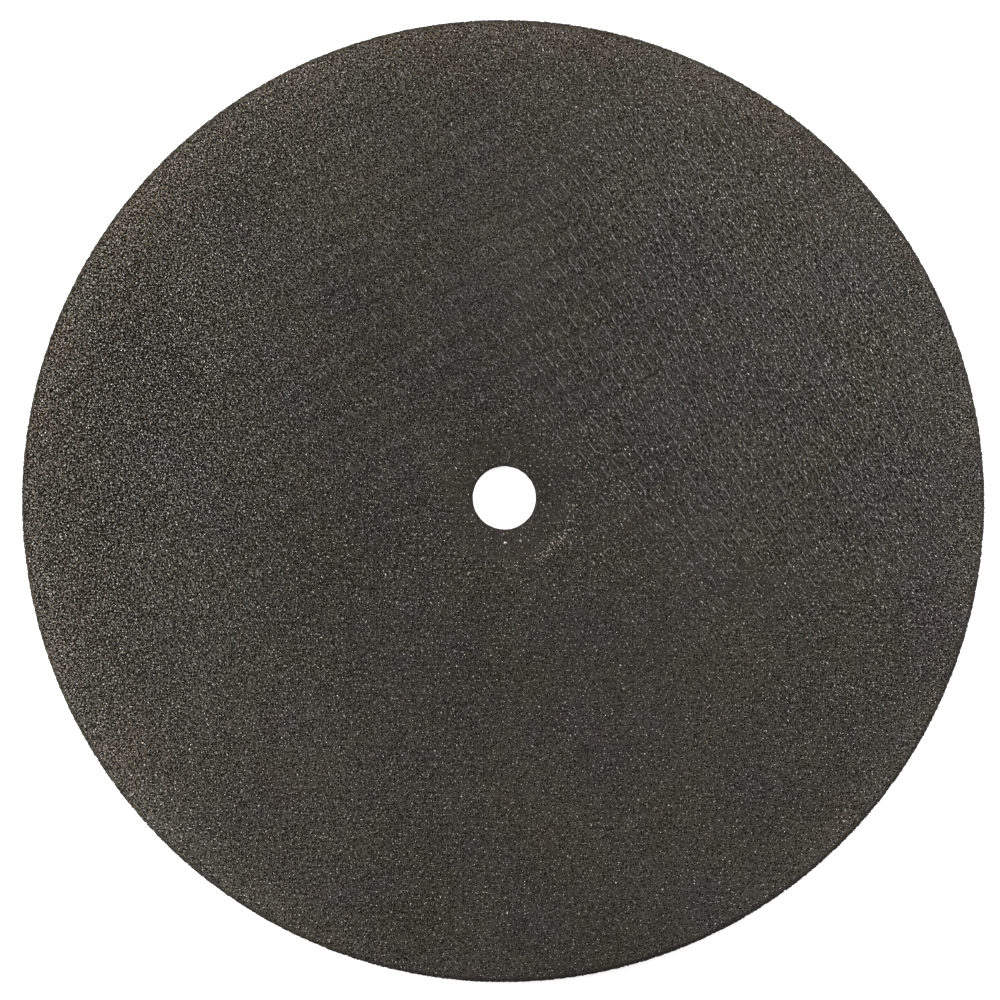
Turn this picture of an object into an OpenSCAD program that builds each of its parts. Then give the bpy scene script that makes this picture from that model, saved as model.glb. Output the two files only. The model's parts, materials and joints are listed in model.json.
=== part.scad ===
// Cut off wheel: a flat, straight-sided abrasive disc, pressed and cured in one piece.
// It is revolved from one half-section. The origin is on the wheel's axis, in the plane
// of the face that it lies on, and the axis points up along +Z. Lengths are millimetres.

/* [Wheel] */
// Outside diameter of the wheel
wheel_d = 305; // [180:1:406]
// Thickness between the two flat faces
wheel_t = 3.2; // [2.4:0.1:6]
// Radius that the mould leaves on the two edges of the rim
rim_edge_r = 0.8; // [0.2:0.1:1]

/* [Arbor bore] */
// Diameter of the bore that runs on the arbor
bore_d = 20; // [12:0.1:32]
// Edge break at the two mouths of the bore
bore_break = 0.2; // [0.1:0.05:0.4]

/* [Hub seat] */
// Diameter across the pressed seat round the bore, over its ramp
seat_d = 42; // [40:1:90]
// Depth of the seat's floor below the face
seat_depth = 0.2; // [0.1:0.05:0.4]
// Width of the ramp that blends the seat's floor into the face
seat_ramp = 2.4; // [1:0.2:3]

/* [Hidden] */
$fn = 240;

// Warm dark grey of the cured resin with the grain in it
wheel_colour = [0.26, 0.25, 0.23];

wheel_r = wheel_d / 2;
bore_r = bore_d / 2;
mouth_r = bore_r + bore_break;
seat_r = seat_d / 2;
seat_floor_r = seat_r - seat_ramp;
seat_floor_z = wheel_t - seat_depth;
// The ramp is two equal arcs that meet halfway, each level where it leaves the floor or the face
ramp_mid_r = seat_r - seat_ramp / 2;
ramp_mid_z = wheel_t - seat_depth / 2;
ramp_arc_r = (pow(seat_ramp, 2) + pow(seat_depth, 2)) / (4 * seat_depth);

// Half-section of the pressed blank, from the axis to the rounded rim
module blank_section() {
    square([wheel_r - rim_edge_r, wheel_t]);
    translate([0, rim_edge_r]) square([wheel_r, wheel_t - 2 * rim_edge_r]);
    for (z = [rim_edge_r, wheel_t - rim_edge_r])
        translate([wheel_r - rim_edge_r, z]) circle(r = rim_edge_r);
}

// What the upper press plate takes out of the half-section: the seat's floor and its ramp
module seat_section() {
    translate([0, seat_floor_z]) square([seat_floor_r, seat_depth]);
    intersection() {
        translate([seat_floor_r, seat_floor_z + ramp_arc_r]) circle(r = ramp_arc_r);
        translate([seat_floor_r, seat_floor_z]) square([seat_ramp / 2, seat_depth]);
    }
    difference() {
        translate([ramp_mid_r, ramp_mid_z]) square([seat_ramp / 2, seat_depth / 2]);
        translate([seat_r, wheel_t - ramp_arc_r]) circle(r = ramp_arc_r);
    }
}

// What the upper mouth of the bore takes out of the half-section
module mouth_section() {
    polygon([
        [bore_r, seat_floor_z - bore_break],
        [mouth_r, seat_floor_z],
        [bore_r, seat_floor_z]
    ]);
}

// Turns a section of the upper face over to the lower face
module both_faces() {
    children();
    translate([0, wheel_t]) mirror([0, 1]) children();
}

module abrasive_wheel() {
    color(wheel_colour) rotate_extrude() difference() {
        blank_section();
        square([bore_r, wheel_t]);
        both_faces() {
            seat_section();
            mouth_section();
        }
    }
}

abrasive_wheel();
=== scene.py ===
"""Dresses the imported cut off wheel: its pressed skin with the mesh imprint, the bare grain and the studio."""

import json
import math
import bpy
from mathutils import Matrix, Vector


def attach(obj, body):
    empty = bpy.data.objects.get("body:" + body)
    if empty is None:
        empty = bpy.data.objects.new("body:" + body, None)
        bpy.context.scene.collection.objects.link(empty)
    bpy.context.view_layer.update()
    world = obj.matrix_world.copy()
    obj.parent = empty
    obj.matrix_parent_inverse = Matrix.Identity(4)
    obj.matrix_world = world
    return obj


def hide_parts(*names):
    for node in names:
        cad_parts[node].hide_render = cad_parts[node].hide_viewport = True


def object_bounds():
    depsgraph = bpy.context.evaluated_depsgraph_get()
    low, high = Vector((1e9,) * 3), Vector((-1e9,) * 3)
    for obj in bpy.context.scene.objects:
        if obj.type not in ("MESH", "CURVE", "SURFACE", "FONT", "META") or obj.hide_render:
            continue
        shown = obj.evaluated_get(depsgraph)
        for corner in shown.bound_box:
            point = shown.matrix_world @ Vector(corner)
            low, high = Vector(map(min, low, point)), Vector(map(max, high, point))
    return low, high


bl_info = {
    "name": "Cut Off Wheel",
    "version": (1, 0, 0),
    "blender": (4, 5, 0),
    "location": "View3D > Sidebar > Wheel",
    "description": "Models the pressed skin and the bare grain of a cut off wheel, and lights it",
    "category": "Object",
}

import bmesh
import bpy
import numpy as np
from mathutils import Matrix, Vector, noise

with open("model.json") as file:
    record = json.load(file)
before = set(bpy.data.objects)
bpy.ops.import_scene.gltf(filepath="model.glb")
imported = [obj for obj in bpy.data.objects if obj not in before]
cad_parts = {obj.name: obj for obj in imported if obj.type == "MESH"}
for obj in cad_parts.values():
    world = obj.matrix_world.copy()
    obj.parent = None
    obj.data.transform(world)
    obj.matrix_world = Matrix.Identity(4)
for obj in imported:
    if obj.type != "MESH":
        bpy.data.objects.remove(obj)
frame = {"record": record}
CAD_LOW, CAD_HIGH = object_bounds()

NODE = "abrasive_wheel"
BODY = "root"
MM = 0.001
PHOTO_SIDE = 1000

WHEEL_R = min(CAD_HIGH.x, CAD_HIGH.y, -CAD_LOW.x, -CAD_LOW.y)
WHEEL_T = CAD_HIGH.z - CAD_LOW.z
MID_Z = (CAD_HIGH.z + CAD_LOW.z) / 2
BORE_R = next(m["dims"]["r_mm"] for m in frame["record"]["mounts"] if m["name"] == "arbor_bore") * MM
# Half the side of the maps that lay the wheel flat
MAP_REACH = WHEEL_R + 2.5 * MM

# Places on the wheel are in wheel radii, to the right and up in the photograph.
# A band is a pair: where a smooth change starts and where it ends.

# Middle and amount of the spots where the yarns of each direction are pressed through
WARP_SPOTS = ((0.62, 0.4, 1.0), (-0.2, 0.5, 0.45), (-0.75, 0.1, 0.45))
WEFT_SPOTS = ((-0.3, 0.4, 1.0),)
PRESSED_LEAST = 0.12
PRESSED_BAND = (0.95, 0.3)
# How far a warp yarn leans off its line where it comes up, and half a yarn's width, in pitches
WARP_LEAN = 0.09
YARN_HALF = 0.08
# Depth of a weft yarn's hollow beside the height of a warp yarn's ridge
WEFT_DEPTH = 0.5
# Angle between the warp yarns and what lies along them
LAY_TURN = 0.12
# Where the grid's lines lie across the warp, in one pitch, and across the weft, in two pitches
WARP_LINES = (0.0, YARN_HALF, 1 - YARN_HALF)
WARP_REPEAT = 1
WEFT_LINES = (0.4, 1 - YARN_HALF, 1.0, 1 + YARN_HALF, 1.6)
WEFT_REPEAT = 2

# Steps round the rim and the hub, over a rounded edge, and along the hub seat
RIM_STEPS = 1440
HUB_STEPS = 160
ARC_STEPS = 3
RAMP_RINGS = 6
FLOOR_RINGS = 9
# Room between the body and the CAD rim, and between the yarns' grid and the rings next to it
RIM_ROOM = 0.03 * MM
GRID_TO_RIM = 0.6 * MM
HUB_RING = 0.6 * MM
HUB_GRID = 1.5 * MM
# The imprint fades in over these distances from the rim's edge and from the hub seat
FADE_RIM = (0, 3 * MM)
FADE_HUB = (0.5 * MM, 4 * MM)
# Noise, as waves to a metre, and its depth, with the seed of the yarns' wander
FACE_WAVES = 260
FACE_DEPTH = 0.02 * MM
WANDER_WAVES = 45
WANDER_SEED = 7
RIM_WAVES = 900
RIM_FINE_WAVES = 2300
RIM_FINE_SHARE = 0.6
BORE_WAVES = 700
BORE_DEPTH = 0.12 * MM

# How much grain is bare: at the hub, more of it at the rim, to the right and up, and at the sides
BARE_HUB = 0.85
BARE_RIM = 0.3
BARE_RIM_BAND = (0.35, 1.0)
BARE_LEAN = (-0.3, 0.2)
BARE_SIDES = 0.3
# Middle, reach and amount of the spots with more or less bare grain, and the share of the reach in full
BARE_SPOTS = ((-0.15, 0.6, 0.45, -0.1), (-0.85, 0.2, 0.5, 0.3), (-0.65, -0.65, 0.45, -0.15))
BARE_FULL = 0.2
# Middle, reach and amount of the spot where the grain keeps its film of resin
FILMED = (-0.1, 0.5, 0.6, 0.45)
FILMED_FULL = 0.3
# How much paler the wheel is, partly from wear and partly as painted light, and the place at the bottom that is
# left darker as painted shade
WORN_AND_LIT = 0.54
WORN_AND_LIT_LEAN = (-0.18, 0.0)
SHADED_BOTTOM = (0.08, -1.0)
SHADED_BOTTOM_BAND = (1.0, 0.1)
# Bands of the paling by radius, each with its share
WORN_AND_LIT_BANDS = (((0.25, 0.85), 0.35), ((0.84, 1.0), 0.75), ((0.94, 0.98), 0.48))

# A grain's foot below the resin, how far its corners and its tip stray, its stretch and its height
FOOT_DEPTH = 0.05 * MM
FOOT_STRAY = 0.16
TIP_STRAY = 0.3
STRETCH = (0.75, 1.35)
HEIGHTS = (0.6, 1.3)
# Length, width and spread in angle of a grain that is laid along the yarns, and where that ends
LAID_LENGTH = 2.0
LAID_WIDTH = 0.7
LAID_SPREAD = 0.2
LAID_SHARE = 0.9
LAID_BAND = (0.97, 0.85)
# Shares of a turn from place to place, which spread any share of the places evenly
EVEN_STEPS = (0.7548776662, 0.569840291)
PLACE_STRAY = 0.48
# Places to a grain, before they are thinned
DENSER = 1.5
# The ring of a face that carries grain, and the share of grain in the hub seat
BORE_MARGIN = 1.0 * MM
RIM_MARGIN = 1.5 * MM
SEAT_MARGIN = 1.0 * MM
SEAT_SHARE = 0.6
# A yarn keeps grain away within these bands, in pitches beside it and along it
CLEAR_BESIDE = (0.2, 0.12)
CLEAR_ALONG = (0.85, 0.6)
# Spread of the grain's tints, and how much paler they are near the hub
FACE_TINTS = (2.4, 3.0)
BARE_TINT = 0.5
HUB_PALER = 0.25
HUB_PALER_BAND = (0.28, 0.15)
# Grain gathered along the hub seat: number, middle and spread in degrees and in distance, tint and kind
HUB_GRAINS = 90
HUB_ARC = (-36, 14)
HUB_OUT = (0.9 * MM, 0.9 * MM)
HUB_TINT = 1.3
HUB_KIND = 0.7
# Two chips beside the bore, with their width and tints
HUB_CHIPS = ((0.3 * MM, -14.2 * MM), (4.9 * MM, -13.7 * MM))
CHIP_WIDTH = 3.2
CHIP_TINTS = (1.5, 0.35)
# Depth of the rim's grain below the rim, more of it on the edges, the room it keeps, and its tints
RIM_SUNK = 0.1 * MM
EDGE_SUNK = 0.12 * MM
RIM_CLEAR = 0.01 * MM
RIM_TINTS = (1.2, 2.4)
EDGE_TINT = 0.2

# Sizes of the resin's pattern
GRAIN_CELL = 0.5 * MM
GRIT_CELL = 0.4 * MM
PORE_CELL = 0.8 * MM
PATCH_SIZE = 45 * MM
HUE_SIZE = 28 * MM
BREAK_SIZE = 1.2 * MM
SWELL_SIZE = 1.0 * MM
FILM_SIZE = 0.25 * MM
RELIEF = 0.22 * MM
# Drift of the resin's hue, as start and swing, and the hues it leans to
HUE_START = (0.78, 0.85, 0.78)
HUE_SWING = (0.44, 0.3, 0.44)
BROWN = (1.08, 1.0, 0.92, 1)
BROWN_LEAN = (-0.4, 0.5)
BROWN_LEAST = 0.4
MESH_GREY = (0.97, 1.0, 1.035, 1)
# Pores along the yarns are longer and narrower
LAID_PORES = (0.45, 1.3, 1.0)
# How far bare grit, the painted shade of pits and the mesh's thread with its painted highlight cover the resin,
# and the gloss of resin and grain
GRIT_COVER = 0.5
PIT_SHADE_COVER = 0.6
THREAD_AND_HIGHLIGHT_COVER = 0.85
RESIN_GLOSS = 0.05
GRAIN_GLOSS = 0.12
# Paleness of a grain: at its foot, near black as the resin film on its flanks and as painted shadow round it,
# for each part of its tint, and at most
SHADED_FOOT_TINT = 0.002
TINT_GAIN = 2.6
TINT_MOST = 1.7

# Name, place and power of the lamps, the side of each, and the sky's strength
LAMPS = (
    ("left_lamp", (-0.5, 0.02, 0.24), 3.7),
    ("right_lamp", (0.45, 0.23, 0.24), 2.5),
    ("far_lamp", (-0.1, 0.55, 0.3), 0.5),
)
LAMP_SIDE = 0.26
SKY = 0.15
WHITE = (1, 1, 1, 1)
# Half the floor's side, its gap under the wheel, its colour, and the glow that makes it white
FLOOR_HALF = 6.0
FLOOR_GAP = 0.02 * MM
FLOOR_COLOUR = (0.8, 0.8, 0.8, 1)
FLOOR_GLOW = 0.85
# Width of the camera's sensor in millimetres, and the nearest that it sees
SENSOR = 36
CLIP_START = 0.01


class WheelBodySettings(bpy.types.PropertyGroup):
    """Sizes of the pressed body and of the imprint in its faces."""

    skin: bpy.props.FloatProperty(
        name="Skin depth",
        description="How far the resin lies below the tips of the grain",
        default=0.2 * MM,
        unit="LENGTH",
    )
    rim_edge: bpy.props.FloatProperty(
        name="Rim edge", description="Radius of the rim's two edges", default=0.8 * MM, unit="LENGTH"
    )
    rim_roughness: bpy.props.FloatProperty(
        name="Rim roughness",
        description="Depth of the notches round the rim",
        default=0.5 * MM,
        unit="LENGTH",
    )
    bore_break: bpy.props.FloatProperty(
        name="Bore break", description="Edge break at the bore's mouths", default=0.2 * MM, unit="LENGTH"
    )
    seat_r: bpy.props.FloatProperty(
        name="Seat radius",
        description="Radius of the hub seat over its ramp",
        default=21 * MM,
        unit="LENGTH",
    )
    seat_depth: bpy.props.FloatProperty(
        name="Seat depth", description="Depth of the hub seat's floor", default=0.2 * MM, unit="LENGTH"
    )
    seat_ramp: bpy.props.FloatProperty(
        name="Seat ramp", description="Width of the hub seat's ramp", default=2.4 * MM, unit="LENGTH"
    )
    warp_pitch: bpy.props.FloatProperty(
        name="Warp pitch",
        description="Distance between the mesh's warp yarns",
        default=4.0 * MM,
        unit="LENGTH",
    )
    weft_pitch: bpy.props.FloatProperty(
        name="Weft pitch",
        description="Distance between the mesh's weft yarns",
        default=3.9 * MM,
        unit="LENGTH",
    )
    warp_angle: bpy.props.FloatProperty(
        name="Warp angle",
        description="Direction of the warp yarns, from the X axis",
        default=math.radians(-64),
        subtype="ANGLE",
    )
    weft_angle: bpy.props.FloatProperty(
        name="Weft angle",
        description="Direction of the weft yarns, from the X axis",
        default=math.radians(28.5),
        subtype="ANGLE",
    )
    imprint: bpy.props.FloatProperty(
        name="Imprint", description="Height of the yarns' imprint", default=0.12 * MM, unit="LENGTH"
    )
    wander: bpy.props.FloatProperty(
        name="Wander",
        description="How far the yarns stray from straight lines",
        default=0.5 * MM,
        unit="LENGTH",
    )


class WheelGrainSettings(bpy.types.PropertyGroup):
    """Size and number of the bare grains."""

    face_count: bpy.props.IntProperty(
        name="Grains on a face",
        description="About how many bare grains a face shows",
        default=48000,
        min=100,
    )
    rim_count: bpy.props.IntProperty(
        name="Grains on the rim", description="How many bare grains the rim shows", default=6000, min=10
    )
    size: bpy.props.FloatProperty(
        name="Grain size", description="Mean width of a grain", default=0.5 * MM, unit="LENGTH"
    )
    spread: bpy.props.FloatProperty(
        name="Size spread",
        description="How much the grains differ in width",
        default=0.18,
        subtype="FACTOR",
    )
    proud: bpy.props.FloatProperty(
        name="Proud",
        description="How far a grain of mean size stands out of the resin",
        default=0.15 * MM,
        unit="LENGTH",
    )
    seed: bpy.props.IntProperty(name="Seed", description="Seed of the grains' places and forms", default=7)


class WheelColourSettings(bpy.types.PropertyGroup):
    """Colours of the resin and of the grain."""

    resin: bpy.props.FloatVectorProperty(
        name="Resin",
        description="Cured resin with fine grain in it",
        default=(0.0735, 0.0652, 0.0538),
        subtype="COLOR",
    )
    # Pit: near black, the painted shade in the pits between grains and in open pores
    pit_shade: bpy.props.FloatVectorProperty(
        name="Pit", description="Pits between the grains", default=(0.0095, 0.007, 0.0043), subtype="COLOR"
    )
    cream: bpy.props.FloatVectorProperty(
        name="Cream grain", description="Common pale grain", default=(0.485, 0.467, 0.442), subtype="COLOR"
    )
    tan: bpy.props.FloatVectorProperty(
        name="Tan grain", description="Warm grain", default=(0.48, 0.41, 0.31), subtype="COLOR"
    )
    rose: bpy.props.FloatVectorProperty(
        name="Rose grain", description="Pinkish grain", default=(0.47, 0.39, 0.34), subtype="COLOR"
    )
    # Thread: the paler fibre where the mesh shows through, with a painted highlight of its lit ridges
    thread_and_highlight: bpy.props.FloatVectorProperty(
        name="Thread",
        description="Mesh that shows through the resin",
        default=(0.36, 0.36, 0.345),
        subtype="COLOR",
    )


class WheelStageSettings(bpy.types.PropertyGroup):
    """Camera of the photograph."""

    distance: bpy.props.FloatProperty(
        name="Camera distance",
        description="From the bore's upper mouth to the camera",
        default=0.617,
        unit="LENGTH",
    )
    tilt: bpy.props.FloatProperty(
        name="Camera tilt",
        description="Angle between the view and the wheel's axis",
        default=math.radians(1.7),
        subtype="ANGLE",
    )
    heading: bpy.props.FloatProperty(
        name="Camera heading",
        description="Side that the camera leans to, from -Y towards -X",
        default=math.radians(20.7),
        subtype="ANGLE",
    )
    rim_px: bpy.props.FloatProperty(
        name="Rim radius", description="Radius of the wheel's rim in the picture, in pixels", default=482.5
    )
    bore_px: bpy.props.FloatVectorProperty(
        name="Bore place",
        description="Place of the bore's centre in the picture, in pixels",
        default=(503.9, 497.2),
        size=2,
    )


def settings():
    """The four groups of settings, which the scene holds."""
    scene = bpy.context.scene
    return scene.wheel_body, scene.wheel_grain, scene.wheel_colour, scene.wheel_stage


def smooth_step(low, high, value):
    """0 up to low, 1 from high on, and a smooth change between them. It takes arrays too."""
    share = np.clip((value - low) / (high - low), 0.0, 1.0)
    return share * share * (3 - 2 * share)


# Where the wheel is pressed through, bare, and paler from wear and painted light

def pressed(x, y, spots):
    """How far the yarns of one direction are pressed through at a place: most round a few spots."""
    share = PRESSED_LEAST
    for across, up, most in spots:
        away = np.hypot(x / WHEEL_R - across, y / WHEEL_R - up)
        share = np.maximum(share, most * smooth_step(*PRESSED_BAND, away))
    return share


def bareness(x, y):
    """How much grain is bare at a place, about 1: more near the rim and to the left, least at the bottom."""
    across = x / WHEEL_R
    up = y / WHEEL_R
    rim = BARE_RIM * smooth_step(*BARE_RIM_BAND, np.hypot(across, up))
    lean = BARE_LEAN[0] * across + BARE_LEAN[1] * up
    share = BARE_HUB + rim + lean + BARE_SIDES * (across**2 - up**2)
    for middle_across, middle_up, reach, more in BARE_SPOTS:
        away = np.hypot(across - middle_across, up - middle_up)
        share = share + more * smooth_step(reach, BARE_FULL * reach, away)
    return share


def wear_and_painted_light(x, y):
    """How much paler the wheel is at a place: most along the rim and to the left, little at the bottom. It is
    partly wear and partly painted light, which falls off towards the bottom.
    """
    across = x / WHEEL_R
    up = y / WHEEL_R
    away = np.hypot(across - SHADED_BOTTOM[0], up - SHADED_BOTTOM[1])
    most = (WORN_AND_LIT + WORN_AND_LIT_LEAN[0] * across + WORN_AND_LIT_LEAN[1] * up) * (1 - smooth_step(*SHADED_BOTTOM_BAND, away))
    radius = np.hypot(across, up)
    return most * sum(share * smooth_step(*band, radius) for band, share in WORN_AND_LIT_BANDS)


def film(x, y):
    """Share of its paleness that a grain at a place keeps under its film of resin."""
    across, up, reach, most = FILMED
    away = np.hypot(x / WHEEL_R - across, y / WHEEL_R - up)
    return 1 - most * smooth_step(reach, FILMED_FULL * reach, away)


# The lattice of the glass mesh

def lattice_rows(body):
    """Two vectors whose dot product with a place gives its warp and weft pitches from the axis."""
    rows = []
    for angle, pitch in ((body.warp_angle, body.warp_pitch), (body.weft_angle, body.weft_pitch)):
        rows.append(Vector((-math.sin(angle), math.cos(angle))) / pitch)
    return rows


def imprint_height(p, q, x, y):
    """Height of the imprint at p warp and q weft pitches: warp yarns rise over every other weft yarn."""
    to_warp = abs(p - round(p))
    to_weft = abs(q - round(q))
    over = 0.5 + 0.5 * math.cos(math.pi * q)
    warp = max(0.0, 1 - to_warp / YARN_HALF) * over * pressed(x, y, WARP_SPOTS)
    weft = max(0.0, 1 - to_weft / YARN_HALF) * (1 - over) * pressed(x, y, WEFT_SPOTS)
    return warp - WEFT_DEPTH * weft


def on_yarn(body, x, y):
    """Share of the grain that a yarn near the surface keeps away at each place."""
    warp, weft = lattice_rows(body)
    p = warp.x * x + warp.y * y
    q = weft.x * x + weft.y * y
    near = smooth_step(*CLEAR_BESIDE, abs(p - np.round(p)))
    over = smooth_step(*CLEAR_ALONG, abs(q - 2 * np.round(q / 2)))
    return near * over * pressed(x, y, WARP_SPOTS)


def yarn_line(number, lines, repeat):
    """Place of a grid line, in pitches, from its number counted from the axis."""
    turn, part = divmod(number, len(lines))
    return turn * repeat + lines[part]


# The pressed body

def trimmed_lattice(bm, body, inner, outer):
    """Lays a grid along the yarns and keeps the faces between two radii. Returns its two borders."""
    cells = 2 * math.ceil(outer / min(body.warp_pitch, body.weft_pitch) / 2) + 2
    across = cells * len(WARP_LINES)
    along = cells // WEFT_REPEAT * len(WEFT_LINES)
    bmesh.ops.create_grid(bm, x_segments=2 * across, y_segments=2 * along, size=1)
    for v in bm.verts:
        v.co.x = yarn_line(round(v.co.x * across), WARP_LINES, WARP_REPEAT)
        v.co.y = yarn_line(round(v.co.y * along), WEFT_LINES, WEFT_REPEAT)
    place = Matrix(lattice_rows(body)).inverted().to_4x4()
    bmesh.ops.transform(bm, matrix=place, verts=bm.verts)
    cut = [f for f in bm.faces if not all(inner < v.co.length < outer for v in f.verts)]
    bmesh.ops.delete(bm, geom=cut, context="FACES")
    border = [e for e in bm.edges if e.is_boundary]
    middle = (inner + outer) / 2
    return (
        [e for e in border if e.verts[0].co.length < middle],
        [e for e in border if e.verts[0].co.length > middle],
    )


def ring(bm, steps, radius):
    """A circle of edges round the axis."""
    verts = bmesh.ops.create_circle(bm, cap_ends=False, segments=steps, radius=radius)["verts"]
    return list(dict.fromkeys(e for v in verts for e in v.link_edges))


def next_ring(bm, edges, radius, height):
    """Extrudes a circle of edges to another radius and height, and returns the new circle."""
    grown = bmesh.ops.extrude_edge_only(bm, edges=edges)["geom"]
    verts = {g for g in grown if isinstance(g, bmesh.types.BMVert)}
    for v in verts:
        out = v.co.xy.normalized() * radius
        v.co = (out.x, out.y, height)
    return [g for g in grown if isinstance(g, bmesh.types.BMEdge) and set(g.verts) <= verts]


def seat_drop(body, radius):
    """How far the hub seat lies below the face at a radius. It takes arrays too."""
    return body.seat_depth * (1 - smooth_step(body.seat_r - body.seat_ramp, body.seat_r, radius))


def mark_places(bm, body):
    """Gives each vertex the values that the resin's material reads, from its place before it is roughened."""
    warp_row, weft_row = lattice_rows(body)
    # The last value is how much paler the place is, partly from wear and partly as painted light
    names = ("warp", "weft", "warp_print", "weft_print", "bare", "worn_and_lit")
    layers = [bm.verts.layers.float.new(name) for name in names]
    for v in bm.verts:
        x, y, _ = v.co
        values = (
            warp_row.dot(v.co.xy),
            weft_row.dot(v.co.xy),
            pressed(x, y, WARP_SPOTS),
            pressed(x, y, WEFT_SPOTS),
            bareness(x, y),
            wear_and_painted_light(x, y),
        )
        for layer, value in zip(layers, values):
            v[layer] = value


def roughen(bm, body):
    """Presses the imprint into the face, its yarns not quite straight, and notches the rim and the bore."""
    noise.seed_set(WANDER_SEED)
    lean_row = lattice_rows(body)[0]
    warp = bm.verts.layers.float["warp"]
    weft = bm.verts.layers.float["weft"]
    lean = WARP_LEAN * lean_row / lean_row.length_squared
    for v in bm.verts:
        radius = v.co.xy.length
        on_face = float(
            smooth_step(*FADE_RIM, WHEEL_R - 2 * body.rim_edge - radius)
            * smooth_step(body.seat_r + FADE_HUB[0], body.seat_r + FADE_HUB[1], radius)
        )
        if on_face > 0:
            height = body.imprint * imprint_height(v[warp], v[weft], v.co.x, v.co.y)
            v.co.z += on_face * (height + FACE_DEPTH * noise.noise(v.co * FACE_WAVES))
            v.co.xy += on_face * body.wander * noise.noise_vector(v.co * WANDER_WAVES).xy
            v.co.xy -= on_face * math.sin(math.pi * v[weft]) * lean
        elif radius > WHEEL_R / 2:
            rough = abs(noise.noise(v.co * RIM_WAVES))
            rough += RIM_FINE_SHARE * abs(noise.noise(v.co * RIM_FINE_WAVES))
            on_rim = float(smooth_step(WHEEL_R - 2 * body.rim_edge, WHEEL_R - body.rim_edge, radius))
            v.co.xy -= v.co.xy.normalized() * min(1.0, rough) * body.rim_roughness * on_rim
        elif radius < BORE_R + 2 * body.bore_break:
            v.co.xy += v.co.xy.normalized() * noise.noise(v.co * BORE_WAVES) * BORE_DEPTH


def half_body(bm, body):
    """Models the upper half about the wheel's middle plane, from the bore's wall to the rim's."""
    face_z = WHEEL_T / 2 - body.skin
    rim_r = WHEEL_R - RIM_ROOM
    rim_start = rim_r - body.rim_edge
    inner, outer = trimmed_lattice(bm, body, body.seat_r + HUB_GRID, rim_start - GRID_TO_RIM)
    rim = ring(bm, RIM_STEPS, rim_start)
    hub = ring(bm, HUB_STEPS, body.seat_r + HUB_RING)
    for border in (outer + rim, inner + hub):
        bmesh.ops.triangle_fill(bm, use_beauty=True, use_dissolve=False, edges=border, normal=(0, 0, 1))
    bmesh.ops.translate(bm, vec=(0, 0, face_z), verts=bm.verts)
    # The rounded edge and the rim's wall
    for step in range(1, ARC_STEPS + 1):
        turn = math.radians(90) * step / ARC_STEPS
        out = rim_r - body.rim_edge * (1 - math.sin(turn))
        rim = next_ring(bm, rim, out, face_z - body.rim_edge * (1 - math.cos(turn)))
    land = face_z - body.rim_edge
    for share in (0.5, 0.0):
        rim = next_ring(bm, rim, rim_r, land * share)
    # The hub seat, the bore's mouth and its wall
    ramp = list(np.linspace(body.seat_r, body.seat_r - body.seat_ramp, RAMP_RINGS))
    floor_rings = list(np.linspace(ramp[-1], BORE_R + body.bore_break, FLOOR_RINGS))[1:]
    for radius in ramp + floor_rings:
        hub = next_ring(bm, hub, radius, face_z - seat_drop(body, radius))
    wall = face_z - body.seat_depth - body.bore_break
    for share in (1.0, 0.5, 0.0):
        hub = next_ring(bm, hub, BORE_R, wall * share)
    mark_places(bm, body)
    roughen(bm, body)


def lay_out(mesh, flat):
    """Gives a mesh a map named OFBake, from each vertex's place on it."""
    corner = np.empty(len(mesh.loops), int)
    mesh.loops.foreach_get("vertex_index", corner)
    mesh.uv_layers.new(name="OFBake").uv.foreach_set("vector", flat[corner].ravel())


def unfold(mesh, body):
    """Lays the body flat on a map: its faces as discs on each other, the rim outside and the bore inside."""
    places = np.empty(len(mesh.vertices) * 3)
    mesh.vertices.foreach_get("co", places)
    places = places.reshape(-1, 3)
    radius = np.hypot(places[:, 0], places[:, 1])
    drop = WHEEL_T / 2 - body.skin - abs(places[:, 2] - MID_Z)
    spread = radius + np.where(radius > WHEEL_R / 2, drop, -drop)
    lay_out(mesh, 0.5 + places[:, :2] * (spread / radius / MAP_REACH / 2)[:, None])


def new_piece(name, mesh, material):
    """Links a piece that rides on the wheel, with the material it is given."""
    mesh.materials.append(material)
    piece = bpy.data.objects.new(name, mesh)
    bpy.context.scene.collection.objects.link(piece)
    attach(piece, BODY)
    return piece


class WHEEL_OT_body(bpy.types.Operator):
    """Model the pressed body with the imprint of the glass mesh"""

    bl_idname = "wheel.body"
    bl_label = "Pressed Body"

    def execute(self, context):
        body = context.scene.wheel_body
        bm = bmesh.new()
        half_body(bm, body)
        bmesh.ops.mirror(bm, geom=bm.verts[:] + bm.edges[:] + bm.faces[:], axis="Z", merge_dist=1e-6)
        bmesh.ops.translate(bm, vec=(0, 0, MID_Z), verts=bm.verts)
        bmesh.ops.recalc_face_normals(bm, faces=bm.faces)
        # Extruding a ring makes its faces in no fixed order
        bm.verts.index_update()
        bm.faces.sort(key=lambda f: sum(v.index**3 for v in f.verts))
        for f in bm.faces:
            f.smooth = True
        open_edges = sum(not e.is_manifold for e in bm.edges)
        if open_edges:
            raise RuntimeError(f"the pressed body has {open_edges} open edges")
        mesh = bpy.data.meshes.new("pressed_body")
        bm.to_mesh(mesh)
        bm.free()
        unfold(mesh, body)
        piece = new_piece("pressed_body", mesh, resin_material())
        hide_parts(NODE)
        return {"FINISHED"}


# The bare grain

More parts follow.
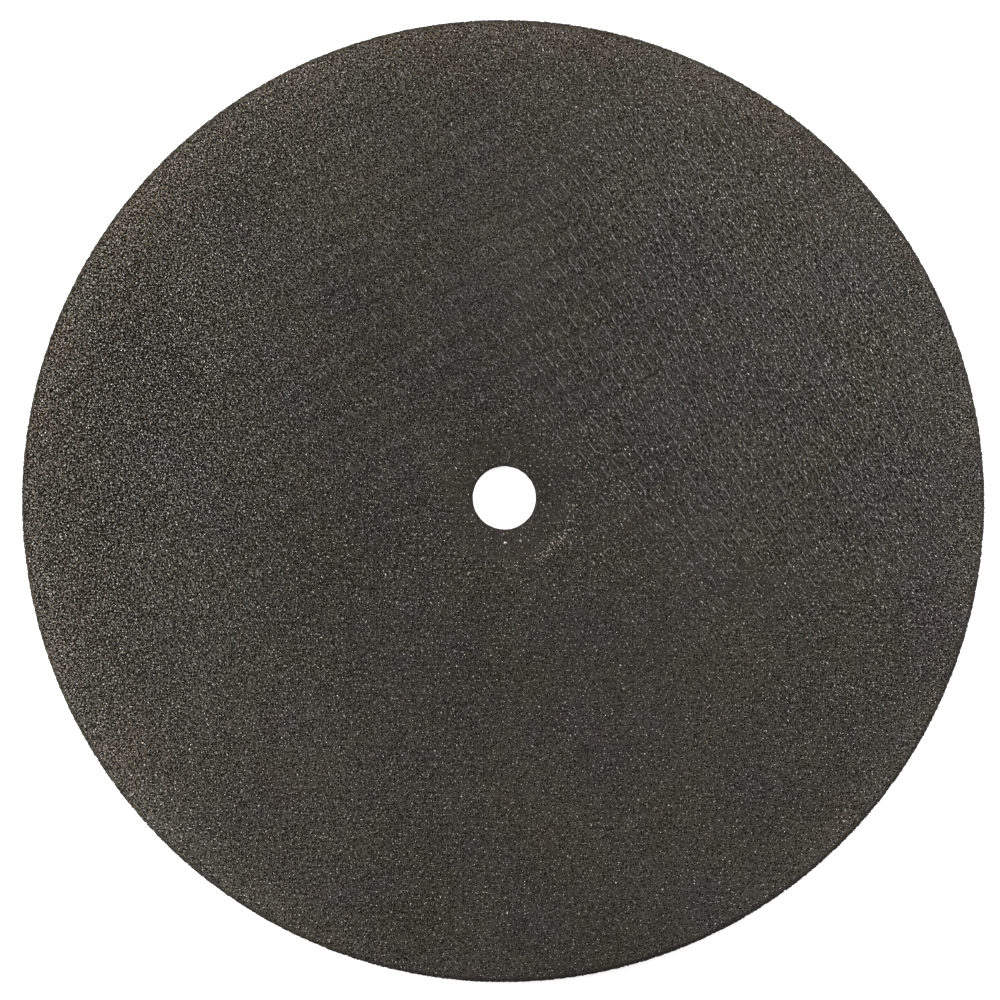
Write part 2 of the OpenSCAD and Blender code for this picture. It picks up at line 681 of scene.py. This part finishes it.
def grain_field(name, count):
    """A mesh of count low pyramids, all in one place, and a pyramid's corners: z is 1 at the tip."""
    bm = bmesh.new()
    bmesh.ops.create_cone(bm, cap_ends=True, segments=3, radius1=0.5, radius2=0, depth=1)
    bmesh.ops.remove_doubles(bm, verts=bm.verts, dist=0.001)
    bmesh.ops.translate(bm, vec=(0, 0, 0.5), verts=bm.verts)
    one = bpy.data.meshes.new(name)
    bm.to_mesh(one)
    bm.free()
    shard = np.array([v.co[:] for v in one.vertices])
    holder = bpy.data.objects.new(name, one)
    bpy.context.scene.collection.objects.link(holder)
    copies = holder.modifiers.new("Copies", "ARRAY")
    copies.count = count
    copies.use_relative_offset = False
    copied = holder.evaluated_get(bpy.context.evaluated_depsgraph_get())
    mesh = bpy.data.meshes.new_from_object(copied)
    bpy.data.objects.remove(holder)
    bpy.data.meshes.remove(one)
    mesh.name = name
    return mesh, shard


def turned(x, y, angle):
    """Places turned about the axis by an angle."""
    return x * np.cos(angle) - y * np.sin(angle), x * np.sin(angle) + y * np.cos(angle)


def shards(rng, shard, grain, count, laid=0.0, lay_angle=0.0):
    """Corners of count grains on the plane z = 0, each with its own width, turn, lean and height.

    The share laid of them lies along lay_angle, and is longer that way.
    """
    along = rng.uniform(0, 1, count) < laid
    sizes = grain.size * np.exp(rng.normal(0, grain.spread, count))
    points = np.repeat(shard[None], count, 0)
    foot = 1 - points[:, :, 2:]
    points[:, :, :2] += rng.uniform(-FOOT_STRAY, FOOT_STRAY, (count, len(shard), 2)) * foot
    points[:, :, :2] += rng.uniform(-TIP_STRAY, TIP_STRAY, (count, 1, 2)) * (1 - foot)
    points[:, :, 0] *= np.where(along, LAID_LENGTH, 1.0)[:, None] * rng.uniform(*STRETCH, (count, 1))
    points[:, :, 1] *= np.where(along, LAID_WIDTH, 1.0)[:, None]
    points[:, :, :2] *= sizes[:, None, None]
    lay = lay_angle + rng.normal(0, LAID_SPREAD, count)
    turn = np.where(along, lay, rng.uniform(0, 2 * math.pi, count))[:, None]
    points[:, :, 0], points[:, :, 1] = turned(points[:, :, 0].copy(), points[:, :, 1].copy(), turn)
    height = grain.proud * (sizes / grain.size) * rng.uniform(*HEIGHTS, count)
    points[:, :, 2] = points[:, :, 2] * (height + FOOT_DEPTH)[:, None] - FOOT_DEPTH
    return points


def face_places(rng, count, inner, outer, turn):
    """About count places spread evenly, but not in rows, over a ring, and a rank to thin them by."""
    step = math.sqrt(math.pi * (outer**2 - inner**2) / count)
    line = np.arange(-outer, outer + step, step)
    x, y = (a.ravel() for a in np.meshgrid(line, line))
    rank = (x * EVEN_STEPS[0] + y * EVEN_STEPS[1]) / step % 1
    x = x + rng.uniform(-PLACE_STRAY, PLACE_STRAY, len(x)) * step
    y = y + rng.uniform(-PLACE_STRAY, PLACE_STRAY, len(y)) * step
    x, y = turned(x, y, turn)
    radius = np.hypot(x, y)
    keep = (radius > inner) & (radius < outer)
    return x[keep], y[keep], radius[keep], rank[keep]


def hub_places(rng, body):
    """Places of the grain gathered along the edge of the hub seat, on one side of it, and of two chips."""
    turn = np.radians(rng.normal(*HUB_ARC, HUB_GRAINS))
    radius = body.seat_r + rng.normal(*HUB_OUT, HUB_GRAINS)
    return np.append([radius * np.cos(turn), radius * np.sin(turn)], np.transpose(HUB_CHIPS), 1)


def finish_grain(name, mesh, points, tips, tints, kinds):
    """Sets the corners of a field of grains, with their tips, tints and kinds, and makes it a piece."""
    mesh.vertices.foreach_set("co", points.astype(np.float32).ravel())
    each = np.ones(len(tips))
    marks = {
        "tip": np.outer(np.ones(len(points)), tips),
        "tint": np.outer(tints, each),
        "kind": np.outer(kinds, each),
    }
    for title, values in marks.items():
        layer = mesh.attributes.new(title, "FLOAT", "POINT")
        layer.data.foreach_set("value", values.astype(np.float32).ravel())
    mesh.update()
    return new_piece(name, mesh, grain_material())


def face_grain(name, body, grain, side):
    """Bare grain standing in one face. side is 1 for the upper face and -1 for the lower one."""
    rng = np.random.default_rng(grain.seed + side)
    inner = BORE_R + BORE_MARGIN
    outer = WHEEL_R - RIM_MARGIN
    x, y, radius, rank = face_places(rng, DENSER * grain.face_count, inner, outer, body.weft_angle)
    in_seat = radius < body.seat_r - SEAT_MARGIN
    keep = DENSER * rank < bareness(x, y) * np.where(in_seat, SEAT_SHARE, 1.0)
    keep &= rng.uniform(0, 1, len(x)) > on_yarn(body, x, y)
    x = x[keep]
    y = y[keep]
    even = len(x)
    if side > 0:
        x, y = np.append([x, y], hub_places(rng, body), 1)
    radius = np.hypot(x, y)
    out = radius / WHEEL_R
    mesh, shard = grain_field(name, len(x))
    laid = LAID_SHARE * pressed(x, y, WARP_SPOTS[:1]) * smooth_step(*LAID_BAND, out)
    points = shards(rng, shard, grain, len(x), laid, side * (body.warp_angle + LAY_TURN))
    # The lower face's grains are turned over both ways, so that their faces still point out
    points[:, :, 1] *= side
    # Grain tints are paler by the same paling, partly wear and partly painted light
    tints = rng.beta(*FACE_TINTS, len(x)) * (1 - BARE_TINT + BARE_TINT * bareness(x, y)) * (1 + wear_and_painted_light(x, y))
    tints *= (1 + HUB_PALER * smooth_step(*HUB_PALER_BAND, out)) * film(x, y)
    kinds = rng.uniform(0, 1, len(x))
    if side > 0:
        tints[even:] *= HUB_TINT
        kinds[even:] = HUB_KIND + (1 - HUB_KIND) * kinds[even:]
        tints[-len(HUB_CHIPS):] = CHIP_TINTS
        kinds[-len(HUB_CHIPS):] = 0
        points[-len(HUB_CHIPS):, :, :2] *= CHIP_WIDTH
    points[:, :, 0] += x[:, None]
    points[:, :, 1] += y[:, None]
    points[:, :, 2] += (WHEEL_T / 2 - body.skin - seat_drop(body, radius))[:, None]
    points[:, :, 2] = MID_Z + side * np.minimum(points[:, :, 2], WHEEL_T / 2)
    lay_out(mesh, 0.5 + points.reshape(-1, 3)[:, :2] / (2 * MAP_REACH))
    return finish_grain(name, mesh, points, shard[:, 2], tints, kinds)


def rim_grain(name, body, grain):
    """Bare grain standing out of the rim and its two rounded edges."""
    rng = np.random.default_rng(grain.seed + 2)
    count = grain.rim_count
    mesh, shard = grain_field(name, count)
    points = shards(rng, shard, grain, count)
    half_land = WHEEL_T / 2 - body.rim_edge
    edge_middle = WHEEL_R - body.rim_edge
    girth = half_land + body.rim_edge * math.radians(90)
    place = rng.uniform(-girth, girth, (count, 1))
    lift = np.clip(place, -half_land, half_land)
    turn = (place - lift) / body.rim_edge
    # The shard's own Z becomes the way out of the rim's surface, and its Y runs up that surface
    depth = body.rim_edge - RIM_SUNK - EDGE_SUNK * abs(np.sin(turn)) + points[:, :, 2]
    out = edge_middle + depth * np.cos(turn) - points[:, :, 1] * np.sin(turn)
    up = lift + depth * np.sin(turn) + points[:, :, 1] * np.cos(turn)
    # No corner goes past the rounded edge
    past = up - np.clip(up, -half_land, half_land)
    beyond = np.maximum(out - edge_middle, 0)
    inside = np.minimum(1, (body.rim_edge - RIM_CLEAR) / np.maximum(np.hypot(past, beyond), 1e-9))
    up = up - past * (1 - inside)
    out = out - beyond * (1 - inside)
    around = rng.uniform(0, 2 * math.pi, (count, 1))
    placed = np.stack([*turned(out, points[:, :, 0], around), up + MID_Z], 2)
    # Nor past the rim
    reach = np.hypot(placed[:, :, 0], placed[:, :, 1])
    placed[:, :, :2] *= np.minimum(1, (WHEEL_R - RIM_CLEAR) / reach)[:, :, None]
    tints = rng.beta(*RIM_TINTS, count) * (EDGE_TINT + (1 - EDGE_TINT) * np.cos(turn[:, 0]) ** 2)
    return finish_grain(name, mesh, placed, shard[:, 2], tints, rng.uniform(0, 1, count))


class WHEEL_OT_grain(bpy.types.Operator):
    """Scatter the bare grain over both faces and the rim"""

    bl_idname = "wheel.grain"
    bl_label = "Bare Grain"

    def execute(self, context):
        body = context.scene.wheel_body
        grain = context.scene.wheel_grain
        face_grain("upper_grain", body, grain, 1)
        face_grain("lower_grain", body, grain, -1)
        rim_grain("rim_grain", body, grain)
        return {"FINISHED"}


# Materials

class Tree:
    """A material's nodes, added one after another and linked by their inputs' names."""

    def __init__(self, name):
        self.material = bpy.data.materials.new(name)
        self.material.use_nodes = True
        self.nodes = self.material.node_tree.nodes
        self.nodes.clear()

    def put(self, socket, value):
        """Gives an input a value or another node's output."""
        if isinstance(value, bpy.types.NodeSocket):
            self.material.node_tree.links.new(value, socket)
        else:
            socket.default_value = value

    def add(self, kind, inputs=None, **options):
        """Adds a node with its options and inputs."""
        node = self.nodes.new(kind)
        for key, value in options.items():
            setattr(node, key, value)
        for key, value in (inputs or {}).items():
            self.put(node.inputs[key], value)
        return node

    def math(self, operation, *values, clamp=False):
        """One step of arithmetic."""
        node = self.add("ShaderNodeMath", dict(enumerate(values)), operation=operation, use_clamp=clamp)
        return node.outputs[0]

    def product(self, first, *others):
        """Values multiplied with each other."""
        for other in others:
            first = self.math("MULTIPLY", first, other)
        return first

    def line(self, value, slope, start):
        """Start plus slope times value."""
        return self.math("MULTIPLY_ADD", value, slope, start)

    def vector(self, operation, first, second, third=(0, 0, 0)):
        """One step of arithmetic on vectors or colours."""
        inputs = {0: first, 1: second, 2: third}
        return self.add("ShaderNodeVectorMath", inputs, operation=operation).outputs[0]

    def mix(self, share, first, second, blend="MIX"):
        """Mixes two colours."""
        node = self.add("ShaderNodeMix", {0: share}, data_type="RGBA", blend_type=blend)
        self.put(node.inputs[6], first)
        self.put(node.inputs[7], second)
        return node.outputs[2]

    def rise(self, value, low, high, to_low=0.0, to_high=1.0):
        """Goes smoothly from to_low to to_high as value goes from low to high."""
        inputs = {"Value": value, "From Min": low, "From Max": high, "To Min": to_low, "To Max": to_high}
        return self.add("ShaderNodeMapRange", inputs, interpolation_type="SMOOTHSTEP").outputs[0]

    def mark(self, name):
        """One of the mesh's own values."""
        return self.add("ShaderNodeAttribute", attribute_name=name).outputs["Fac"]

    def noise(self, vector, size, detail=2.0, rough=0.5):
        """Soft noise about 0.5 and its colour."""
        inputs = {"Vector": vector, "Scale": 1 / size, "Detail": detail, "Roughness": rough}
        return self.add("ShaderNodeTexNoise", inputs).outputs

    def cells(self, vector, size):
        """Distance to the middle of the nearest cell, and that cell's three chances from 0 to 1."""
        inputs = {"Vector": vector, "Scale": 1 / size}
        node = self.add("ShaderNodeTexVoronoi", inputs, voronoi_dimensions="2D")
        chances = self.add("ShaderNodeSeparateColor", {0: node.outputs["Color"]}).outputs
        return node.outputs["Distance"], chances

    def grey(self, value):
        """A grey of a value, which may be over 1."""
        return self.add("ShaderNodeCombineXYZ", {0: value, 1: value, 2: value}).outputs[0]

    def finish(self, **inputs):
        """Ends the tree in a Principled shader."""
        shader = self.add("ShaderNodeBsdfPrincipled", {k.replace("_", " "): v for k, v in inputs.items()})
        self.add("ShaderNodeOutputMaterial", {"Surface": shader.outputs[0]})
        return self.material


def rgba(colour):
    """A colour with its opacity."""
    return (*colour, 1.0)


def wheel_places(tree, body):
    """Places on the wheel laid flat, with both faces on each other, and the distance from its axis."""
    place = tree.add("ShaderNodeTexCoord").outputs["Object"]
    parts = tree.add("ShaderNodeSeparateXYZ", {0: place}).outputs
    squares = tree.math("ADD", tree.product(parts[0], parts[0]), tree.product(parts[1], parts[1]))
    radius = tree.math("SQRT", squares)
    away = tree.math("ABSOLUTE", tree.math("SUBTRACT", parts[2], MID_Z))
    drop = tree.math("SUBTRACT", WHEEL_T / 2 - body.skin, away)
    drop = tree.product(drop, tree.rise(radius, 0.4 * WHEEL_R, 0.6 * WHEEL_R, -1.0, 1.0))
    grow = tree.math("ADD", tree.math("DIVIDE", drop, radius), 1.0)
    flat = tree.add("ShaderNodeVectorMath", {0: place, "Scale": grow}, operation="SCALE").outputs[0]
    return tree.vector("MULTIPLY", flat, (1, 1, 0)), radius


def kind_colour(tree, colour, share):
    """Colour of a bare grain: cream for most, tan or rose for a few."""
    ramp = tree.add("ShaderNodeValToRGB", {0: share})
    stops = ((0.82, colour.cream), (0.88, colour.tan), (0.94, colour.rose))
    for end in ramp.color_ramp.elements:
        end.color = rgba(colour.cream)
    for place, shade in stops:
        ramp.color_ramp.elements.new(place).color = rgba(shade)
    return ramp.outputs[0]


def pores(tree, place, coarse):
    """Open pores, more and deeper where the surface is coarse. Their darkness in the colour is painted shade.
    """
    near, chances = tree.cells(place, PORE_CELL)
    depth = tree.math("ADD", chances[0], tree.math("SUBTRACT", coarse, 0.95))
    return tree.product(tree.rise(near, 0.42, 0.28), tree.math("MULTIPLY", depth, 1.6, clamp=True))


def all_pores(tree, body, place, radius, coarse):
    """Pores that are longer along the yarns where these are pressed through, but not near the rim."""
    turn = {"Vector": place, "Angle": -body.warp_angle - LAY_TURN}
    along = tree.add("ShaderNodeVectorRotate", turn, rotation_type="Z_AXIS").outputs[0]
    along = tree.vector("MULTIPLY", along, LAID_PORES)
    share = tree.product(
        tree.rise(tree.mark("warp_print"), 0.45, 0.75),
        tree.rise(radius, 0.85 * WHEEL_R, 0.95 * WHEEL_R, 1.0, 0.0),
    )
    round_pores = tree.product(pores(tree, place, coarse), tree.math("SUBTRACT", 1.0, share))
    return tree.line(pores(tree, along, coarse), share, round_pores)


def yarn_marks(tree, body, place, radius):
    """The mesh's imprint: a bright broken thread that is partly a painted highlight, a painted shadow along one
    side of it, and painted shade in the weft's groove.
    """
    pressed_through = tree.mark("warp_print")
    beside = tree.math("SUBTRACT", tree.math("FRACT", tree.math("ADD", tree.mark("warp"), 0.5)), 0.5)
    over = tree.math("PINGPONG", tree.mark("weft"), 1.0)
    on_face = tree.product(
        tree.rise(radius, body.seat_r + MM, body.seat_r + 5 * MM),
        tree.rise(radius, WHEEL_R - 7 * MM, WHEEL_R - 2.5 * MM, 1.0, 0.0),
    )
    # A yarn that is pressed through less shows a shorter, wider and fainter tick
    tick_end = tree.line(pressed_through, 0.9, -0.02)
    tick = tree.rise(over, tick_end, tree.math("MULTIPLY", tick_end, 0.65))
    strength = tree.math("MULTIPLY", pressed_through, 1.4, clamp=True)
    crown = tree.line(pressed_through, -0.6, 1.05)
    broken = tree.rise(tree.noise(place, BREAK_SIZE)[0], 0.33, 0.6, 0.15, 1.0)
    shown = tree.product(on_face, strength, tick, broken, tree.rise(over, 0.1, 0.45, crown, 1.0))
    half_width = tree.line(pressed_through, -0.035, 0.085)
    # The thread's pale colour is partly the fibre and partly a painted highlight on its lit ridge, strongest
    # where the yarns are pressed through
    thread_and_highlight = tree.product(tree.rise(tree.math("ABSOLUTE", beside), half_width, 0.01), shown)
    # A painted shadow along one side of each warp thread
    lee_shadow = tree.product(tree.rise(beside, -0.17, -0.12), tree.rise(beside, -0.05, -0.09), shown)
    # Painted shade in the weft's groove
    groove_shade = tree.product(tree.rise(over, 0.88, 0.97), on_face, tree.mark("weft_print"))
    return thread_and_highlight, lee_shadow, groove_shade


def hue_patches(tree, place, radius):
    """Faint drifts of hue over the wheel, from reddish through olive to a cooler grey, about white."""
    drift = tree.noise(place, HUE_SIZE, 5.0, 0.7)["Color"]
    drift = tree.vector("MULTIPLY_ADD", drift, HUE_SWING, HUE_START)
    # Browner towards the rim on the upper left, greyer where the mesh lies near the surface
    parts = tree.add("ShaderNodeSeparateXYZ", {0: place}).outputs
    towards = tree.math(
        "ADD",
        tree.math("MULTIPLY", parts[0], BROWN_LEAN[0] / WHEEL_R),
        tree.math("MULTIPLY", parts[1], BROWN_LEAN[1] / WHEEL_R),
    )
    at_rim = tree.rise(radius, 0.7 * WHEEL_R, WHEEL_R)
    brown = tree.product(at_rim, tree.math("ADD", towards, BROWN_LEAST))
    drift = tree.mix(brown, drift, BROWN, "MULTIPLY")
    return tree.mix(tree.mark("warp_print"), drift, MESH_GREY, "MULTIPLY")


def resin_material():
    """Dark cured resin over fine grain, with painted shade in pits and open pores, the mesh's imprint with its
    painted highlight and shadow, and bare grit.
    """
    body, _, colour, _ = settings()
    tree = Tree("pressed_resin")
    place, radius = wheel_places(tree, body)
    # Where the surface is coarse: less in the hub seat and on the rim's edge
    coarse = tree.product(
        tree.rise(radius, body.seat_r - 3 * MM, body.seat_r + MM, 0.65, 1.0),
        tree.rise(radius, WHEEL_R - 2 * MM, WHEEL_R - MM, 1.0, 0.6),
        tree.mark("bare"),
    )
    near_grain, grain = tree.cells(place, GRAIN_CELL)
    near_grit, grit = tree.cells(place, GRIT_CELL)
    pore = all_pores(tree, body, place, radius, coarse)
    # Painted shade in the pits between grains
    pit_shade = tree.product(tree.rise(near_grain, 0.45, 0.6), coarse)
    thread_and_highlight, lee_shadow, groove_shade = yarn_marks(tree, body, place, radius)
    # Shade: from grain to grain and over wide patches, darker towards the middle, paler with the wear, which is
    # partly painted light, and where grain is bare, darker in the hub seat and at the rim's edge, with a
    # painted shadow beside the yarns and painted shade in the weft's grooves
    uneven = tree.product(tree.rise(grain[0], 0.1, 0.9, -0.1, 0.1), coarse)
    uneven_grit = tree.product(tree.rise(grit[0], 0.1, 0.9, -0.25, 0.25), coarse)
    shade = tree.product(
        tree.math("ADD", uneven, 1.0),
        tree.math("ADD", uneven_grit, 1.0),
        tree.rise(tree.noise(place, PATCH_SIZE, 3.0, 0.6)[0], 0.3, 0.7, 0.9, 1.1),
        tree.rise(radius, 0.3 * WHEEL_R, 0.8 * WHEEL_R, 0.89, 1.02),
        tree.math("ADD", tree.mark("worn_and_lit"), 1.0),
        tree.rise(tree.mark("bare"), 0.85, 1.4, 0.96, 1.2),
        tree.rise(radius, body.seat_r - 4 * MM, body.seat_r, 0.8, 1.0),
        tree.rise(radius, WHEEL_R - 2 * MM, WHEEL_R - MM, 1.0, 0.55),
        tree.line(lee_shadow, -0.45, 1.0),
        tree.line(groove_shade, -0.25, 1.0),
    )
    # Colour: resin, then bare grit, the painted shade of pits and pores, and the mesh's thread, partly a
    # painted highlight
    base = tree.mix(1.0, rgba(colour.resin), tree.grey(shade), "MULTIPLY")
    base = tree.mix(1.0, base, hue_patches(tree, place, radius), "MULTIPLY")
    bare = tree.product(tree.rise(grit[1], 0.86, 0.98), tree.rise(near_grit, 0.6, 0.35), coarse)
    bare = tree.math("MULTIPLY", bare, GRIT_COVER, clamp=True)
    base = tree.mix(bare, base, kind_colour(tree, colour, grit[2]))
    dark = tree.math("MAXIMUM", tree.math("MULTIPLY", pit_shade, PIT_SHADE_COVER), pore, clamp=True)
    base = tree.mix(dark, base, rgba(colour.pit_shade))
    base = tree.mix(tree.math("MULTIPLY", thread_and_highlight, THREAD_AND_HIGHLIGHT_COVER, clamp=True), base, rgba(colour.thread_and_highlight))
    # Relief: domes of grain and grit, pores, the thread, and a swell where the mesh is near
    height = tree.product(tree.rise(near_grain, 0.6, 0.1), tree.rise(grain[0], 0.0, 1.0, 0.5, 1.0))
    height = tree.line(tree.rise(near_grit, 0.7, 0.2), 0.35, height)
    height = tree.math("SUBTRACT", height, pore)
    height = tree.product(height, coarse, tree.line(thread_and_highlight, -0.6, 1.0))
    height = tree.line(thread_and_highlight, 0.7, height)
    swell = tree.product(tree.noise(place, SWELL_SIZE, 1.0)[0], tree.mark("warp_print"))
    height = tree.line(swell, 2.2, height)
    relief = {"Strength": 1.0, "Distance": RELIEF, "Height": height}
    bump = tree.add("ShaderNodeBump", relief).outputs[0]
    rough = tree.rise(grit[0], 0.0, 1.0, 0.6, 0.4)
    return tree.finish(Base_Color=base, Roughness=rough, Specular_IOR_Level=RESIN_GLOSS, Normal=bump)


def grain_material():
    """Bare grain, from filmed with resin to clean, dark at its foot with the resin film on its flanks and
    painted shadow round it.
    """
    made = bpy.data.materials.get("bare_grain")
    if made:
        return made
    colour = settings()[2]
    tree = Tree("bare_grain")
    tint = tree.mark("tint")
    place = tree.add("ShaderNodeTexCoord").outputs["Object"]
    patchy = tree.rise(tree.noise(place, FILM_SIZE, 1.0)[0], 0.3, 0.7, 0.7, 1.2)
    paleness = tree.math("MULTIPLY", tint, TINT_GAIN)
    # The foot is near black: partly the resin film, partly painted shadow round the grain
    bare_tip_shaded_foot = tree.line(tree.rise(tree.mark("tip"), 0.2, 0.45), paleness, SHADED_FOOT_TINT)
    bare_tip_shaded_foot = tree.math("MINIMUM", tree.product(bare_tip_shaded_foot, patchy), TINT_MOST)
    base = tree.mix(1.0, kind_colour(tree, colour, tree.mark("kind")), tree.grey(bare_tip_shaded_foot), "MULTIPLY")
    rough = tree.rise(tint, 0.0, 1.0, 0.55, 0.4)
    return tree.finish(Base_Color=base, Roughness=rough, Specular_IOR_Level=GRAIN_GLOSS)


# The studio

def white_floor():
    """A pale floor that shows the camera white, less the wheel's shadow."""
    tree = Tree("white_floor")
    rays = tree.add("ShaderNodeLightPath").outputs
    seen = tree.math("MAXIMUM", rays["Is Camera Ray"], rays["Is Glossy Ray"])
    seen = tree.math("MAXIMUM", seen, rays["Is Transmission Ray"])
    plain = tree.add("ShaderNodeBsdfDiffuse", {"Color": FLOOR_COLOUR})
    level = tree.math("MULTIPLY", seen, FLOOR_GLOW)
    glow = tree.add("ShaderNodeEmission", {"Color": WHITE, "Strength": level})
    both = tree.add("ShaderNodeAddShader", {0: plain.outputs[0], 1: glow.outputs[0]})
    tree.add("ShaderNodeOutputMaterial", {"Surface": both.outputs[0]})
    return tree.material


def floor():
    """The floor that the wheel lies on."""
    bm = bmesh.new()
    bmesh.ops.create_grid(bm, x_segments=1, y_segments=1, size=FLOOR_HALF)
    bmesh.ops.translate(bm, vec=(0, 0, CAD_LOW.z - FLOOR_GAP), verts=bm.verts)
    mesh = bpy.data.meshes.new("floor")
    bm.to_mesh(mesh)
    bm.free()
    mesh.materials.append(white_floor())
    made = bpy.data.objects.new("floor", mesh)
    bpy.context.scene.collection.objects.link(made)


def sky(strength):
    """An even white sky that shows the camera white."""
    world = bpy.data.worlds.new("studio")
    world.use_nodes = True
    bpy.context.scene.world = world
    nodes = world.node_tree.nodes
    links = world.node_tree.links
    rays = nodes.new("ShaderNodeLightPath").outputs
    seen = nodes.new("ShaderNodeMath")
    seen.operation = "MAXIMUM"
    links.new(rays["Is Camera Ray"], seen.inputs[0])
    links.new(rays["Is Transmission Ray"], seen.inputs[1])
    level = nodes.new("ShaderNodeMapRange")
    level.inputs["To Min"].default_value = strength
    links.new(seen.outputs[0], level.inputs["Value"])
    glow = nodes["Background"]
    glow.inputs["Color"].default_value = WHITE
    links.new(level.outputs[0], glow.inputs["Strength"])


def lamp(name, place, power):
    """A square soft lamp that faces the wheel's hub."""
    light = bpy.data.lights.new(name, "AREA")
    light.shape = "SQUARE"
    light.size = LAMP_SIDE
    light.energy = power
    made = bpy.data.objects.new(name, light)
    made.visible_camera = False
    made.location = place
    made.rotation_euler = (-Vector(place)).to_track_quat("-Z", "Y").to_euler()
    bpy.context.scene.collection.objects.link(made)


def camera(stage):
    """The camera of the photograph: straight above, with a slight lean."""
    data = bpy.data.cameras.new("camera")
    made = bpy.data.objects.new("camera", data)
    lean = Vector((-math.sin(stage.heading), -math.cos(stage.heading), 0)) * math.sin(stage.tilt)
    back = lean + Vector((0, 0, math.cos(stage.tilt)))
    made.location = Vector((0, 0, CAD_HIGH.z)) + back * stage.distance
    right = Vector((0, 1, 0)).cross(back).normalized()
    made.rotation_euler = Matrix((right, back.cross(right), back)).transposed().to_euler()
    data.sensor_width = SENSOR
    data.lens = data.sensor_width * stage.rim_px / PHOTO_SIDE * stage.distance / WHEEL_R
    middle = (PHOTO_SIDE - 1) / 2
    data.shift_x = (middle - stage.bore_px[0]) / PHOTO_SIDE
    data.shift_y = (stage.bore_px[1] - middle) / PHOTO_SIDE
    data.clip_start = CLIP_START
    bpy.context.scene.collection.objects.link(made)
    bpy.context.scene.camera = made


class WHEEL_OT_stage(bpy.types.Operator):
    """Set up the camera, the floor and the lamps"""

    bl_idname = "wheel.stage"
    bl_label = "Studio"

    def execute(self, context):
        camera(context.scene.wheel_stage)
        floor()
        sky(SKY)
        for name, place, power in LAMPS:
            lamp(name, place, power)
        context.scene.view_settings.view_transform = "Standard"
        return {"FINISHED"}


class WHEEL_PT_panel(bpy.types.Panel):
    """Lists the wheel's settings and the steps that build it"""

    bl_idname = "WHEEL_PT_panel"
    bl_label = "Cut Off Wheel"
    bl_space_type = "VIEW_3D"
    bl_region_type = "UI"
    bl_category = "Wheel"

    def draw(self, context):
        for step in STEPS:
            self.layout.operator(step.bl_idname)
        for group in settings():
            box = self.layout.box()
            for name in group.bl_rna.properties.keys():
                if name not in ("rna_type", "name"):
                    box.prop(group, name)


STEPS = (WHEEL_OT_stage, WHEEL_OT_body, WHEEL_OT_grain)
GROUPS = {
    "wheel_body": WheelBodySettings,
    "wheel_grain": WheelGrainSettings,
    "wheel_colour": WheelColourSettings,
    "wheel_stage": WheelStageSettings,
}


def register():
    for name, group in GROUPS.items():
        bpy.utils.register_class(group)
        setattr(bpy.types.Scene, name, bpy.props.PointerProperty(type=group))
    for made in (*STEPS, WHEEL_PT_panel):
        bpy.utils.register_class(made)


def unregister():
    for made in (WHEEL_PT_panel, *reversed(STEPS)):
        bpy.utils.unregister_class(made)
    for name, group in reversed(GROUPS.items()):
        delattr(bpy.types.Scene, name)
        bpy.utils.unregister_class(group)


def main():
    register()
    bpy.ops.wheel.stage()
    bpy.ops.wheel.body()
    bpy.ops.wheel.grain()


if __name__ == "__main__":
    main()
